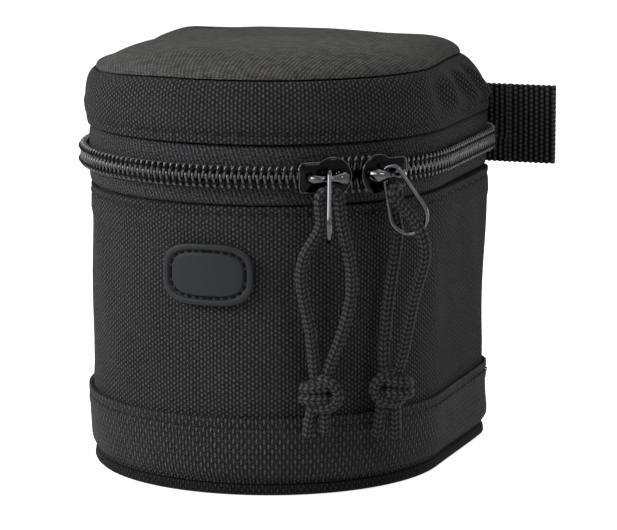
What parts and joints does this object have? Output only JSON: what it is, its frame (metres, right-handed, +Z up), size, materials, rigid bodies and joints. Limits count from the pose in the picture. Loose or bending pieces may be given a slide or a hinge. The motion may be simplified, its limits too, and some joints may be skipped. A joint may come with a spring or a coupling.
{
  "type": "lens pouch",
  "caption": "Padded lens pouch with a round front, a flat back and a hinged lid closed by a coil zip with paired sliders on wire pulls and knotted cords; webbing tab and belt loop.",
  "frame": {"origin": "On the surface the pouch stands on, halfway across its width and halfway back.", "axes": "+Z is up, -Y is the round front with the badge, +Y is the flat back with the hinge, +X is the wearer's side with the webbing tab."},
  "size_m": [0.118, 0.1167, 0.115],
  "materials": {
    "shell_weave": "matt black plain weave",
    "top_weave": "fine black weave with a slight sheen",
    "band_weave": "coarse black ballistic weave",
    "lining": "brushed dark grey lining",
    "foam": "closed-cell foam between cloths",
    "binding": "black grosgrain binding",
    "zip_tape": "blue-black twill tape",
    "zip_coil": "glossy black nylon coil",
    "gunmetal": "black nickel plating",
    "wire": "dark plated steel wire",
    "cord": "black braided cord",
    "webbing": "ribbed black webbing",
    "rubber": "matt moulded rubber"
  },
  "bodies": {
    "pouch": {"body_wrap_panel": "shell_weave", "body_back_panel": "shell_weave", "body_foam_wall": "foam", "body_lining": "lining", "base_panel": "band_weave", "base_foam": "foam", "base_lining": "lining", "base_binding": "binding", "base_band": "band_weave", "hinge_strip": "shell_weave", "zip_tape_lower": "zip_tape", "zip_coil_lower": "zip_coil", "zip_stop_left": "gunmetal", "zip_stop_right": "gunmetal", "webbing_tab": "webbing", "belt_loop": "webbing", "badge": "rubber"},
    "lid": {"lid_side_band": "shell_weave", "lid_top_panel": "top_weave", "lid_foam_top": "foam", "lid_foam_wall": "foam", "lid_lining": "lining", "lid_top_lining": "lining", "zip_tape_upper": "zip_tape", "zip_coil_upper": "zip_coil"},
    "left_slider": {"slider_left": "gunmetal"},
    "right_slider": {"slider_right": "gunmetal"},
    "left_pull": {"pull_wire_left": "wire", "pull_cord_left": "cord", "cord_knot_left": "cord", "cord_tail_left_1": "cord", "cord_tail_left_2": "cord"},
    "right_pull": {"pull_wire_right": "wire", "pull_cord_right": "cord", "cord_knot_right": "cord", "cord_tail_right_1": "cord", "cord_tail_right_2": "cord"}
  },
  "joints": [
    {"name": "lid_hinge", "type": "hinge", "parent": "pouch", "child": "lid", "pos_m": [0, 0.0525, 0.08575], "axis": [-1, 0, 0], "range_deg": [0, 165], "deforming": ["hinge_strip"]},
    {"name": "left_slider_run", "type": "hinge", "parent": "pouch", "child": "left_slider", "pos_m": [0, -0.0035, 0.08575], "axis": [0, 0, 1], "range_deg": [-116, 0], "deforming": ["zip_coil_lower", "zip_coil_upper"]},
    {"name": "right_slider_run", "type": "hinge", "parent": "pouch", "child": "right_slider", "pos_m": [0, -0.0035, 0.08575], "axis": [0, 0, 1], "range_deg": [-2, 30], "deforming": ["zip_coil_lower", "zip_coil_upper"]},
    {"name": "left_pull_swing", "type": "hinge", "parent": "left_slider", "child": "left_pull", "pos_m": [0.03261, -0.05007, 0.08575], "axis": [-0.8192, -0.5736, 0], "range_deg": [0, 140]},
    {"name": "right_pull_swing", "type": "hinge", "parent": "right_slider", "child": "right_pull", "pos_m": [0.04564, -0.03739, 0.08575], "axis": [-0.5962, -0.8028, 0], "range_deg": [0, 140]}
  ]
}
